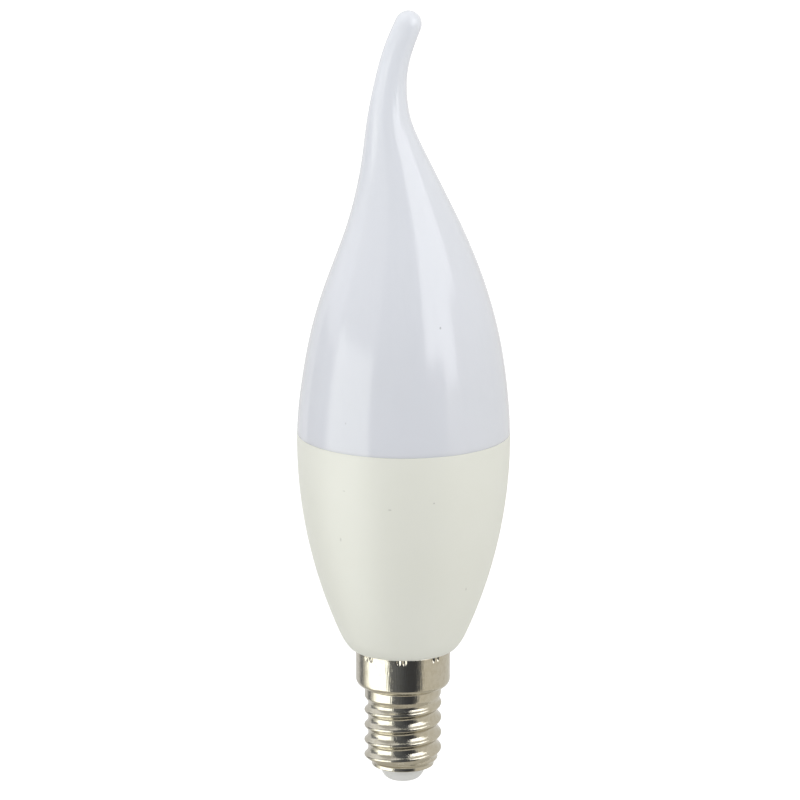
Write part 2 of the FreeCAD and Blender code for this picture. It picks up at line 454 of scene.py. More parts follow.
@dataclass(frozen=True)
class OpalPolycarbonate:
    """Opal polycarbonate, blow moulded: milky, cool white, polished by its mould.

    The light goes a little way in, so shadow edges are soft, and the smooth skin
    shows the lamps as long clear highlights that waver with the wall. Towards the
    narrow tip the white is painted paler: painted light for the light that comes
    through the tip from all sides.

    Attributes:
        milk_thin: The white where the wall is a little thinner, in soft clouds.
        painted_tip_glow: The paler white painted on the tip as painted light, for the
        light that comes through it; it comes in from the level paler_from and is
        full at palest_from.
        light_share: How much of the light goes in, and light_reach how far.
        gloss_spread: How far the roughness strays from its middle.
    """

    milk: str = "#DADDE2"
    milk_thin: str = "#DEE0E7"
    painted_tip_glow: str = "#E4E7ED"
    paler_from: float = 78.0
    palest_from: float = 136.0
    speck: str = "#8C8E92"
    roughness: float = 0.14
    gloss_spread: float = 0.03
    index: float = 1.585
    light_share: float = 0.35
    light_reach: float = 1.6
    cloud_width: float = 16.0
    grain_width: float = 0.6
    grain_depth: float = 0.0012
    waver_width: float = 11.0
    waver_depth: float = 0.02
    marks: tuple[Mark, ...] = (
        Mark((6.4, -14.3, 87.6), (0.2, 0.8, 0.28), 0.6),
        Mark((-10.2, -15.5, 70.6), (0.16, 0.5, 0.28), 0.35),
    )

    def build(self) -> bpy.types.Material:
        """Build the finish.

        Returns:
            The material.
        """
        material, shader, place = new_material(
            "opal_polycarbonate_moulded",
            IOR=self.index,
            Subsurface_Weight=self.light_share,
            Subsurface_Radius=(1.0, 1.0, 1.0),
            Subsurface_Scale=self.light_reach * MM,
        )
        tree = material.node_tree
        cloud = add_node(
            tree, "ShaderNodeTexNoise",
            {"Vector": place, "Scale": 1 / self.cloud_width, "Detail": 3.0},
        )
        tint = add_node(
            tree, "ShaderNodeMix",
            {
                MIX_FACTOR: cloud.outputs[0],
                MIX_A: linear(self.milk),
                MIX_B: linear(self.milk_thin),
            },
            data_type="RGBA",
        )
        # Painted light: the white is painted paler from paler_from up to the tip,
        # standing in for the light that comes through the narrow tip.
        height = add_node(tree, "ShaderNodeSeparateXYZ", {0: place})
        tip_glow_share = add_node(
            tree, "ShaderNodeMapRange",
            {
                "Value": height.outputs["Z"],
                "From Min": self.paler_from,
                "From Max": self.palest_from,
            },
        )
        glow_painted = add_node(
            tree, "ShaderNodeMix",
            {
                MIX_FACTOR: tip_glow_share.outputs[0],
                MIX_A: tint.outputs[MIX_COLOUR],
                MIX_B: linear(self.painted_tip_glow),
            },
            data_type="RGBA",
        )
        white = glow_painted.outputs[MIX_COLOUR]
        colour = add_marks(tree, place, white, self.speck, self.marks)
        waver = add_node(
            tree, "ShaderNodeTexNoise",
            {"Vector": place, "Scale": 1 / self.waver_width, "Detail": 1.0},
        )
        wavering = add_node(
            tree, "ShaderNodeBump",
            {
                "Height": waver.outputs[0],
                "Distance": self.waver_depth * MM,
                "Strength": 1.0,
            },
        )
        grain = add_node(
            tree, "ShaderNodeTexNoise",
            {"Vector": place, "Scale": 1 / self.grain_width, "Detail": 2.0},
        )
        skin_bump = add_node(
            tree, "ShaderNodeBump",
            {
                "Height": grain.outputs[0],
                "Distance": self.grain_depth * MM,
                "Strength": 1.0,
                "Normal": wavering.outputs[0],
            },
        )
        gloss = add_node(
            tree, "ShaderNodeMapRange",
            {
                "Value": cloud.outputs[0],
                "To Min": self.roughness - self.gloss_spread,
                "To Max": self.roughness + self.gloss_spread,
            },
        )
        tree.links.new(colour, shader.inputs["Base Color"])
        tree.links.new(gloss.outputs[0], shader.inputs["Roughness"])
        tree.links.new(skin_bump.outputs[0], shader.inputs["Normal"])
        return material


@dataclass(frozen=True)
class MouldedPolyester:
    """White polyester (PBT), injection moulded in a finely sparked mould.

    The sparked mould leaves a fine grain that turns the lamps' reflections into
    a broad satin sheen, and the filler gives a warm, faintly green white.

    Attributes:
        shade: The white's other tone, in soft clouds.
        light_share: How much of the light goes in, and light_reach how far.
        gloss_spread: How far the roughness strays from its middle.
    """

    name: str = "white_polyester_moulded"
    white: str = "#E7E8DF"
    shade: str = "#E2E3D8"
    stain: str = "#9A9A92"
    roughness: float = 0.44
    gloss_spread: float = 0.06
    index: float = 1.55
    light_share: float = 0.12
    light_reach: float = 0.7
    cloud_width: float = 13.0
    grain_width: float = 0.35
    grain_depth: float = 0.004
    marks: tuple[Mark, ...] = ()

    def build(self) -> bpy.types.Material:
        """Build the finish.

        Returns:
            The material.
        """
        material, shader, place = new_material(
            self.name,
            IOR=self.index,
            Subsurface_Weight=self.light_share,
            Subsurface_Radius=(1.0, 1.0, 0.9),
            Subsurface_Scale=self.light_reach * MM,
        )
        tree = material.node_tree
        cloud = add_node(
            tree, "ShaderNodeTexNoise",
            {"Vector": place, "Scale": 1 / self.cloud_width, "Detail": 4.0},
        )
        tint = add_node(
            tree, "ShaderNodeMix",
            {
                MIX_FACTOR: cloud.outputs[0],
                MIX_A: linear(self.white),
                MIX_B: linear(self.shade),
            },
            data_type="RGBA",
        )
        white = tint.outputs[MIX_COLOUR]
        colour = add_marks(tree, place, white, self.stain, self.marks)
        # The real spark grain is about 0.05 mm; it is drawn coarser so that it shows.
        grain = add_node(
            tree, "ShaderNodeTexNoise",
            {"Vector": place, "Scale": 1 / self.grain_width, "Detail": 3.0},
        )
        bump = add_node(
            tree, "ShaderNodeBump",
            {
                "Height": grain.outputs[0],
                "Distance": self.grain_depth * MM,
                "Strength": 1.0,
            },
        )
        gloss = add_node(
            tree, "ShaderNodeMapRange",
            {
                "Value": grain.outputs[0],
                "To Min": self.roughness - self.gloss_spread,
                "To Max": self.roughness + self.gloss_spread,
            },
        )
        tree.links.new(colour, shader.inputs["Base Color"])
        tree.links.new(gloss.outputs[0], shader.inputs["Roughness"])
        tree.links.new(bump.outputs[0], shader.inputs["Normal"])
        return material


@dataclass(frozen=True)
class NickelPlate:
    """Bright nickel plated on drawn and rolled steel.

    The plate mirrors the room in hard-edged strips, slightly broken by the upright
    draw lines under it, and it is duller and browner in the patches where it thins.

    Attributes:
        line_width: How wide a draw line is, line_length how long and line_depth
            how deep.
        thinning: The part of the clouds over which the plate goes from full to thin.
        dulling: The part of the clouds over which it goes from bright to dull.
        gloss_spread: How far the roughness strays from its middle, bright and dull.
    """

    name: str = "nickel_plate_drawn"
    nickel: str = "#CFCABD"
    worn: str = "#C8C2B2"
    roughness: float = 0.09
    line_width: float = 0.16
    line_length: float = 2.4
    line_depth: float = 0.02
    cloud_width: float = 0.9
    thinning: tuple[float, float] = (0.42, 0.72)
    dulling: tuple[float, float] = (0.3, 0.7)
    gloss_spread: tuple[float, float] = (-0.03, 0.07)

    def build(self) -> bpy.types.Material:
        """Build the finish.

        Returns:
            The material.
        """
        material, shader, place = new_material(self.name, Metallic=1.0)
        tree = material.node_tree
        # Real draw lines are finer than a pixel; these are as wide as one, to show.
        drawn = add_node(
            tree, "ShaderNodeVectorMath",
            {0: place, 1: (1.0, 1.0, self.line_width / self.line_length)},
            operation="MULTIPLY",
        )
        lines = add_node(
            tree, "ShaderNodeTexNoise",
            {
                "Vector": drawn.outputs[0],
                "Scale": 1 / self.line_width,
                "Detail": 2.0,
            },
        )
        cloud = add_node(
            tree, "ShaderNodeTexNoise",
            {"Vector": place, "Scale": 1 / self.cloud_width, "Detail": 5.0},
        )
        thin = add_node(
            tree, "ShaderNodeMapRange",
            {
                "Value": cloud.outputs[0],
                "From Min": self.thinning[0],
                "From Max": self.thinning[1],
            },
        )
        tint = add_node(
            tree, "ShaderNodeMix",
            {
                MIX_FACTOR: thin.outputs[0],
                MIX_A: linear(self.nickel),
                MIX_B: linear(self.worn),
            },
            data_type="RGBA",
        )
        bump = add_node(
            tree, "ShaderNodeBump",
            {
                "Height": lines.outputs[0],
                "Distance": self.line_depth * MM,
                "Strength": 1.0,
            },
        )
        gloss = add_node(
            tree, "ShaderNodeMapRange",
            {
                "Value": cloud.outputs[0],
                "From Min": self.dulling[0],
                "From Max": self.dulling[1],
                "To Min": self.roughness + self.gloss_spread[0],
                "To Max": self.roughness + self.gloss_spread[1],
            },
        )
        tree.links.new(tint.outputs[MIX_COLOUR], shader.inputs["Base Color"])
        tree.links.new(gloss.outputs[0], shader.inputs["Roughness"])
        tree.links.new(bump.outputs[0], shader.inputs["Normal"])
        return material


# --------------------------------------------------------------------- pieces


@dataclass
class BodySweep:
    """The long outer arc that housing and diffuser share.

    Attributes:
        radius: The body's radius where it is widest.
        sweep: The arc's own radius, seen from the side.
    """

    radius: float = 19.09
    sweep: float = 88.0
    widest_level: float = 64.0
    seam_level: float = 65.1

    def at(self, level: float) -> float:
        """Return the body's radius at a level."""
        rise = level - self.widest_level
        return self.radius - self.sweep + math.sqrt(self.sweep**2 - rise**2)

    def slope(self, level: float, step: float = 0.1) -> float:
        """Return how fast the radius grows with the level, over a short step."""
        return (self.at(level + step) - self.at(level)) / step


@dataclass
class FlameDiffuser:
    """Opal cover: a belly above the seam that draws out into a bent flame tip.

    Attributes:
        rises: Levels above the seam at which the flame is known.
        radii: Its radius there.
        offsets: How far its centre stands from the lamp's axis there.
        seam_slope: How fast the radius grows with the level at the seam.
        first_rise: The height above the seam to which the lip's rounding may reach.
        crown: The length of the rounded end beyond the last rise.
    """

    body: BodySweep
    rises: tuple[float, ...] = (0, 9, 18, 27, 36, 41, 46, 51, 56, 60.5, 65, 69.5, 74)
    radii: tuple[float, ...] = (19.06, 18.353, 16.833, 14.29, 10.881, 8.917, 7.095,
                                5.437, 4.085, 3.248, 2.713, 2.497, 2.374)
    offsets: tuple[float, ...] = (0.0, 0.1, 0.16, 0.139, -0.229, -0.703, -1.337,
                                  -2.091, -2.707, -2.703, -2.223, -1.133, 0.612)
    seam_slope: float = -0.0125
    first_rise: float = 0.6
    crown: float = 2.45
    lip_rounding: float = 0.07
    spigot_radius: float = 17.39
    spigot_length: float = 3.9
    spigot_rounding: float = 0.3
    columns: int = 160
    rows: int = 168
    crown_rows: int = 14

    def build(self) -> bpy.types.Object:
        """Build and dress the diffuser.

        Returns:
            The finished piece.
        """
        seam = self.body.seam_level
        radius = SmoothCurve(self.rises, self.radii, self.seam_slope)
        offset = SmoothCurve(self.rises, self.offsets)
        angles = ring_angles(self.columns)
        lip = rounded(
            [
                (0, seam - self.spigot_length, 0),
                (self.spigot_radius, seam - self.spigot_length, self.spigot_rounding),
                (self.spigot_radius, seam, 0),
                (radius.at(0)[0], seam, self.lip_rounding),
                (radius.at(self.first_rise)[0], seam + self.first_rise, 0),
            ]
        )
        rings = turned_rings(lip, angles)
        top = self.rises[-1]
        for row in range(1, self.rows + 1):
            rise = self.first_rise + (top - self.first_rise) * row / self.rows
            ring = self.section(angles, radius.at(rise)[0], rise, *offset.at(rise))
            rings.append(ring)
        middle, slope = offset.at(top)
        lean = math.atan(slope)
        ahead = Vector((math.sin(lean), 0, math.cos(lean)))
        for row in range(1, self.crown_rows):
            turn = math.pi / 2 * row / self.crown_rows
            shrunk = radius.at(top)[0] * math.cos(turn)
            ring = self.section(angles, shrunk, top, middle, slope)
            lift = ahead * self.crown * math.sin(turn)
            rings.append([point + lift for point in ring])
        rings.append([Vector((middle, 0, seam + top)) + ahead * self.crown])
        piece = skin("diffuser_cover", rings)
        finish = OpalPolycarbonate().build()
        return finish_piece(piece, finish, "diffuser")

    def section(
        self,
        angles: Sequence[float],
        radius: float,
        rise: float,
        middle: float,
        slope: float,
    ) -> list[Vector]:
        """Return one ring, square to the bent centre line.

        Args:
            angles: The columns' angles.
            radius: The ring's radius.
            rise: Its height above the seam.
            middle: How far its centre stands from the axis.
            slope: The centre line's slope there.

        Returns:
            The ring's points.
        """
        lean = math.atan(slope)
        across = Vector((math.cos(lean), 0, -math.sin(lean))) * radius
        back = Vector((0, radius, 0))
        centre = Vector((middle, 0, self.body.seam_level + rise))
        return [
            centre + across * math.cos(turn) + back * math.sin(turn)
            for turn in angles
        ]


@dataclass
class LampHousing:
    """White housing: a long taper with a rounded foot that grips the cap.

    Attributes:
        rim_level: The level of the foot's edge, and rim_radius its radius.
        blend_level: Where the foot's rounding runs into the body's arc.
        foot_flare: How far the rounding's lower handle reaches outwards, and
            foot_lift how far up.
        foot_reach: How far below blend_level its upper handle stands.
        lip_height: How far below the seam the lip's rounding may reach.
        collar_radius: The radius of what fills the cap's skirt, down to collar_level.
        neck_radius: The radius of what fills its sleeve, down to neck_level.
        hidden_rounding: The rounding of the edges inside the cap.
    """

    body: BodySweep
    rim_level: float = 25.0
    rim_radius: float = 8.9
    blend_level: float = 28.2
    foot_flare: float = 0.85
    foot_lift: float = 0.05
    foot_reach: float = 1.5
    lip_rounding: float = 0.07
    lip_height: float = 0.6
    collar_radius: float = 8.12
    collar_level: float = 19.58
    neck_radius: float = 5.765
    neck_level: float = 5.5
    hidden_rounding: float = 0.2
    socket_radius: float = 17.49
    socket_depth: float = 4.0
    columns: int = 192
    rows: int = 60
    foot_rows: int = 16
    marks: tuple[Mark, ...] = (
        Mark((-10.5, -15.7, 58.3), (0.3, 0.8, 0.12), 0.35),
        Mark((5.4, -18.0, 56.7), (0.2, 0.8, 0.18), 0.5),
        Mark((-2.4, -18.5, 55.6), (0.4, 0.8, 0.16), 0.4),
        Mark((-11.1, -13.9, 48.9), (0.16, 0.8, 0.5), 0.35),
        Mark((11.2, -10.6, 38.9), (0.16, 0.8, 0.4), 0.3),
    )

    def build(self) -> bpy.types.Object:
        """Build and dress the housing.

        Returns:
            The finished piece.
        """
        seam = self.body.seam_level
        inside = rounded(
            [
                (0, self.neck_level, 0),
                (self.neck_radius, self.neck_level, self.hidden_rounding),
                (self.neck_radius, self.collar_level, 0),
                (self.collar_radius, self.collar_level, self.hidden_rounding),
                (self.collar_radius, self.rim_level, 0),
            ]
        )
        joined = self.body.at(self.blend_level)
        slope = self.body.slope(self.blend_level)
        foot = bezier(
            [
                (self.rim_radius, self.rim_level),
                (self.rim_radius + self.foot_flare, self.rim_level + self.foot_lift),
                (joined - self.foot_reach * slope, self.blend_level - self.foot_reach),
                (joined, self.blend_level),
            ],
            self.foot_rows,
        )
        last = seam - self.lip_height
        wall = [
            (self.body.at(level), level)
            for level in np.linspace(self.blend_level, last, self.rows)[1:-1]
        ]
        lip = rounded(
            [
                (self.body.at(last), last, 0),
                (self.body.at(seam), seam, self.lip_rounding),
                (self.socket_radius, seam, 0),
                (self.socket_radius, seam - self.socket_depth, 0),
                (0, seam - self.socket_depth, 0),
            ]
        )
        rings = turned_rings(inside + foot + wall + lip, ring_angles(self.columns))
        piece = skin("housing_shell", rings)
        finish = MouldedPolyester(marks=self.marks)
        return finish_piece(piece, finish.build(), "housing")


@dataclass
class ScrewShell:
    """Plated screw shell: rolled knuckle thread, shoulder, and pinched skirt.

    Attributes:
        major: The radius of the thread's crest.
        crest_level: The level of a crest on the +X side.
        neck_radius: The radius of the plain wall between thread and shoulder,
            which starts at neck_level.
        runout_top: The height over which the thread fades into the neck, and
            runout_bottom the height over which it grows from thread_start up.
        shoulder_foot: The level of the shoulder's inner corner, and
            shoulder_corner of its outer one, before they are rounded.
        shoulder_reach: How far up the skirt the outer rounding may go.
        inner_shoulder_lift: How far above that corner the hidden face turns in.
        rim_turn_level: Where the skirt's edge starts to turn in.
        edge_gap: How far below the top the outer face ends, for a rolled edge.
        lip_radius: The radius of the opening that the insulator's nose fills.
        collar_radius: The radius of the upright collar round the opening, which
            goes from lip_level up to collar_level.
        collar_growth: The height over which it widens to the thread's root.
        seat_radius: The radius of the hidden seat that holds the insulator's
            flange, from seat_level up to seat_top.
        dent_pairs: How many pairs of dents grip the housing, evenly spaced.
        dent_margin: How far below the dents the close rows begin.
        dent_fullness: How softly a dent runs out at its edge; 1 is a plain bowl.
        dent_turn: How far the pairs are turned from the +X side, in degrees.
        dent_crowding: How much the columns crowd together at the dents, up to 1.
        crease: The angle in degrees from which an edge stays sharp.
    """

    pitch: float = 2.822
    major: float = 6.98
    crest_rounding: float = 0.44
    root_rounding: float = 1.33
    crest_level: float = 6.2
    neck_radius: float = 6.91
    neck_level: float = 17.0
    runout_top: float = 2.6
    runout_bottom: float = 2.0
    thread_start: float = 3.0
    bore_radius: float = 5.845
    skirt_radius: float = 8.5
    shoulder_corner: float = 18.4
    shoulder_rounding: float = 1.4
    shoulder_foot: float = 17.85
    foot_rounding: float = 0.35
    shoulder_reach: float = 1.5
    inner_shoulder_lift: float = 0.8
    rim_turn_level: float = 24.5
    rim_turn_radius: float = 1.2
    top_level: float = 25.0
    edge_gap: float = 0.04
    sheet: float = 0.3
    lip_radius: float = 4.1
    lip_level: float = 2.98
    lip_rounding: float = 0.18
    collar_radius: float = 5.62
    collar_level: float = 3.52
    collar_growth: float = 1.0
    seat_radius: float = 5.35
    seat_level: float = 4.05
    seat_top: float = 5.15
    dent_pairs: int = 8
    dent_spacing: float = 1.08
    dent_half_width: float = 0.46
    dent_half_height: float = 0.85
    dent_level: float = 24.6
    dent_depth: float = 0.26
    dent_margin: float = 0.05
    dent_fullness: float = 1.3
    dent_turn: float = -1.8
    dent_crowding: float = 0.5
    columns: int = 384
    row_height: float = 0.1
    lip_rows: int = 10
    shoulder_rows: int = 14
    skirt_rows: int = 8
    dent_rows: int = 20
    crease: float = 50.0

    def build(self) -> bpy.types.Object:
        """Build and dress the shell.

        Returns:
            The finished piece.
        """
        angles = self.angles()
        outside = [
            [around(radius + self.relief(turn, level), turn, level) for turn in angles]
            for radius, level in self.outer_rows()
        ]
        skirt_bore = self.skirt_radius - self.sheet
        inside = [
            (skirt_bore, self.top_level),
            (skirt_bore, self.shoulder_corner + self.inner_shoulder_lift),
            (self.bore_radius, self.neck_level + self.sheet),
            (self.bore_radius, self.seat_top + self.sheet),
            (self.seat_radius, self.seat_top),
            (self.seat_radius, self.seat_level),
            (self.lip_radius, self.lip_level + self.sheet),
        ]
        rings = outside + turned_rings(inside, angles)
        piece = skin("screw_shell_threaded", rings, self.crease)
        return finish_piece(piece, NickelPlate().build(), "screw_shell")

    def angles(self) -> list[float]:
        """Return the columns' angles, which crowd together at the dents.

        Returns:
            The angles in radians, all the way round.
        """
        crowding = self.dent_crowding / self.dent_pairs
        first = math.radians(self.dent_turn)
        return [
            first + turn - crowding * math.sin(self.dent_pairs * turn)
            for turn in ring_angles(self.columns)
        ]

    def outer_rows(self) -> Outline:
        """Return the radius and level of each outer row, without its thread."""
        return self.threaded_rows() + self.shoulder_outline() + self.skirt_outline()

    def threaded_rows(self) -> Outline:
        """Return the rows of the lip, the collar and the thread's root.

        Returns:
            The radius and level of each row, from the bottom up.
        """
        start, foot = self.collar_level, self.collar_radius
        rows = rounded(
            [
                (self.lip_radius, self.lip_level, 0),
                (foot, self.lip_level, self.lip_rounding),
                (foot, start, 0),
            ],
            self.lip_rows,
        )
        count = round((self.neck_level - start) / self.row_height)
        for step in range(1, count):
            level = start + (self.neck_level - start) * step / count
            grown = smooth_step((level - start) / self.collar_growth)
            rows.append((foot + (self.minor - foot) * grown, level))
        return rows

    def shoulder_outline(self) -> Outline:
        """Return the rows from the neck over the shoulder to the skirt.

        Returns:
            The radius and level of each row, from the bottom up.
        """
        skirt_start = self.shoulder_corner + self.shoulder_reach
        return rounded(
            [
                (self.neck_radius, self.neck_level, 0),
                (self.neck_radius, self.shoulder_foot, self.foot_rounding),
                (self.skirt_radius, self.shoulder_corner, self.shoulder_rounding),
                (self.skirt_radius, skirt_start, 0),
            ],
            self.shoulder_rows,
        )

    def skirt_outline(self) -> Outline:
        """Return the rows of the skirt, which lie close together at the dents.

        Returns:
            The radius and level of each row, from the bottom up.
        """
        start = self.shoulder_corner + self.shoulder_reach
        dents_from = self.dent_level - self.dent_half_height - self.dent_margin
        end = self.top_level - self.edge_gap
        rows = [
            (self.skirt_radius, float(level))
            for level in np.linspace(start, dents_from, self.skirt_rows)[1:]
        ]
        for level in np.linspace(dents_from, end, self.dent_rows)[1:]:
            lean = max(float(level) - self.rim_turn_level, 0.0)
            inset = self.rim_turn_radius - math.sqrt(self.rim_turn_radius**2 - lean**2)
            rows.append((self.skirt_radius - inset, float(level)))
        return rows

    @property
    def minor(self) -> float:
        """Return the radius of the thread's root."""
        return self.major - self.drop(self.pitch / 2)

    def drop(self, across: float) -> float:
        """Return how far the rolled wave lies below its crest.

        Args:
            across: The distance from the crest along the axis.

        Returns:
            The radial distance, along one arc for the tight crest and one for the
            wide root.
        """
        both = self.crest_rounding + self.root_rounding
        flank = math.asin(self.pitch / 2 / both)
        if across < self.crest_rounding * math.sin(flank):
            return self.crest_rounding - math.sqrt(self.crest_rounding**2 - across**2)
        left = self.pitch / 2 - across
        deepest = both * (1 - math.cos(flank))
        return deepest - self.root_rounding + math.sqrt(self.root_rounding**2 - left**2)

    def relief(self, turn: float, level: float) -> float:
        """Return how far the outer face stands out of its row, negative in a dent."""
        return self.swell(turn, level) - self.dent(turn, level)

    def swell(self, turn: float, level: float) -> float:
        """Return how far the rolled thread stands out of its root.

        Args:
            turn: The angle from +X, counter-clockwise seen from above.
            level: The height.

        Returns:
            The radial distance, 0 outside the threaded length.
        """
        if level >= self.neck_level:
            return 0.0
        along = level - self.crest_level - self.pitch * turn / math.tau
        across = abs((along + self.pitch / 2) % self.pitch - self.pitch / 2)
        share = smooth_step((self.neck_level - level) / self.runout_top)
        start = smooth_step((level - self.thread_start) / self.runout_bottom)
        crest = self.neck_radius + (self.major - self.neck_radius) * share
        return (crest - self.drop(across) * share - self.minor) * start

    def dent(self, turn: float, level: float) -> float:
        """Return how deep a pinch is at a place on the skirt.

        Args:
            turn: The angle from +X, counter-clockwise seen from above.
            level: The height.

        Returns:
            The radial distance, 0 outside the dents.
        """
        rise = (level - self.dent_level) / self.dent_half_height
        step = math.tau / self.dent_pairs
        along = turn - math.radians(self.dent_turn) + step / 2
        arc = (along % step - step / 2) * self.skirt_radius
        across = (abs(arc) - self.dent_spacing / 2) / self.dent_half_width
        inside = 1 - rise**2 - across**2
        return self.dent_depth * max(inside, 0.0) ** self.dent_fullness


@dataclass
class CapInsulator:
    """White insulating nose between the screw shell and the centre contact.

    Attributes:
        bore: The radius of the hole that the contact's shank fills.
        end_radius: The radius of the flat end, and end_reach how far beyond it
            the rounding's handle stands.
        nose_radius: The nose's full radius, reached at nose_level and kept up to
            neck_level, behind the shell's lip.
        nose_inset: How far inwards the rounding's upper handle stands, and
            nose_reach how far down.
        flange_radius: The radius of the hidden flange, from flange_level up.
    """

    bore: float = 0.73
    end_level: float = 0.3
    end_radius: float = 2.1
    end_reach: float = 0.95
    nose_radius: float = 4.05
    nose_level: float = 2.75
    nose_inset: float = 0.12
    nose_reach: float = 1.4
    neck_level: float = 3.4
    flange_radius: float = 5.25
    flange_level: float = 4.1
    top_level: float = 5.1
    columns: int = 96
    nose_rows: int = 18

    def build(self) -> bpy.types.Object:
        """Build and dress the insulator.

        Returns:
            The finished piece.
        """
        nose = bezier(
            [
                (self.end_radius, self.end_level),
                (self.end_radius + self.end_reach, self.end_level),
                (self.nose_radius - self.nose_inset, self.nose_level - self.nose_reach),
                (self.nose_radius, self.nose_level),
            ],
            self.nose_rows,
        )
        outline = [
            (self.bore, self.end_level),
            *nose,
            (self.nose_radius, self.neck_level),
            (self.flange_radius, self.flange_level),
            (self.flange_radius, self.top_level),
            (self.bore, self.top_level),
        ]
        piece = skin("cap_insulator", turned_rings(outline, ring_angles(self.columns)))
        finish = MouldedPolyester(
            name="insulator_polyester_moulded",
            white="#E3E3E0",
            shade="#DCDCD8",
            roughness=0.42,
        )
        return finish_piece(piece, finish.build(), "insulator")


@dataclass
class CentreContact:
    """Plated rivet whose slightly domed head is the lamp's centre contact.

    Attributes:
        head_level: The head's height, and head_taper how far its side leans in.
        flat_radius: The radius of the head's flat middle, and flat_rounding how
            softly that turns into the dome.
        dome: How far the head falls off from its middle to its edge.
        rounding: The rounding of the head's edge and of the shank's end.
    """

    head_radius: float = 1.3
    head_level: float = 0.3
    head_taper: float = 0.05
    flat_radius: float = 0.6
    flat_rounding: float = 0.4
    dome: float = 0.05
    rounding: float = 0.1
    shank_radius: float = 0.7
    shank_level: float = 3.4
    columns: int = 72

    def build(self) -> bpy.types.Object:
        """Build and dress the contact.

        Returns:
            The finished piece.
        """
        outline = rounded(
            [
                (0, 0, 0),
                (self.flat_radius, 0, self.flat_rounding),
                (self.head_radius - self.head_taper, self.dome, self.rounding),
                (self.head_radius, self.head_level, 0),
                (self.shank_radius, self.head_level, 0),
                (self.shank_radius, self.shank_level, self.rounding),
                (0, self.shank_level, 0),
            ]
        )
        piece = skin("contact_rivet", turned_rings(outline, ring_angles(self.columns)))
        finish = NickelPlate(
            name="nickel_plate_headed", nickel="#C4BCA8", worn="#A89E88", roughness=0.2
        )
        return finish_piece(piece, finish.build(), "centre_contact")


# --------------------------------------------------------------------- studio


@dataclass(frozen=True)
class Panel:
    """A bright or dark board round the lamp, as directions seen from it in degrees.

    Attributes:
        name: Its name.
        tones: Its colours from one side to the other, each with its direction:
            0 is in front of the lamp and 90 on the +X side.
        low: The elevation of its lower edge.
        high: The elevation of its upper edge.
        glow: How bright it is; 1 is white.
        distance: How far off it stands, in metres.
        lift: How far it stays above the floor, as a share of the height of the
            lamp's middle over it.
    """

    name: str
    tones: tuple[tuple[float, str], ...]
    low: float
    high: float
    glow: float = 1.0
    distance: float = 0.7
    lift: float = 0.03

    def tone(self, turn: float) -> np.ndarray:
        """Return the linear colour at a direction in degrees.

        Args:
            turn: The direction in degrees, 0 in front and 90 on the +X side.

        Returns:
            Red, green, blue and alpha, blended between the nearest tones.
        """
        turns = [place for place, _ in self.tones]
        colours = np.array([linear(code) for _, code in self.tones])
        return np.array([np.interp(turn, turns, channel) for channel in colours.T])


@dataclass(frozen=True)
class Lamp:
    """A soft square lamp.

    Attributes:
        name: Its name.
        place: Where it hangs, in metres.
        width: The length of its side, in metres.
        power: Its power in watts.
    """

    name: str
    place: tuple[float, float, float]
    width: float
    power: float


def ray_shows(tree: bpy.types.NodeTree) -> bpy.types.NodeSocket:
    """Tell rays that show the studio from those that only light something.

    Args:
        tree: The tree of the floor or the surround.

    Returns:
        1 for a ray to the camera, off a gloss or through glass, otherwise 0.
    """
    rays = add_node(tree, "ShaderNodeLightPath")
    seen = add_node(
        tree, "ShaderNodeMath",
        {0: rays.outputs["Is Camera Ray"], 1: rays.outputs["Is Glossy Ray"]},
        operation="MAXIMUM",
    )
    shown = add_node(
        tree, "ShaderNodeMath",
        {0: seen.outputs[0], 1: rays.outputs["Is Transmission Ray"]},
        operation="MAXIMUM",
    )
    return shown.outputs[0]


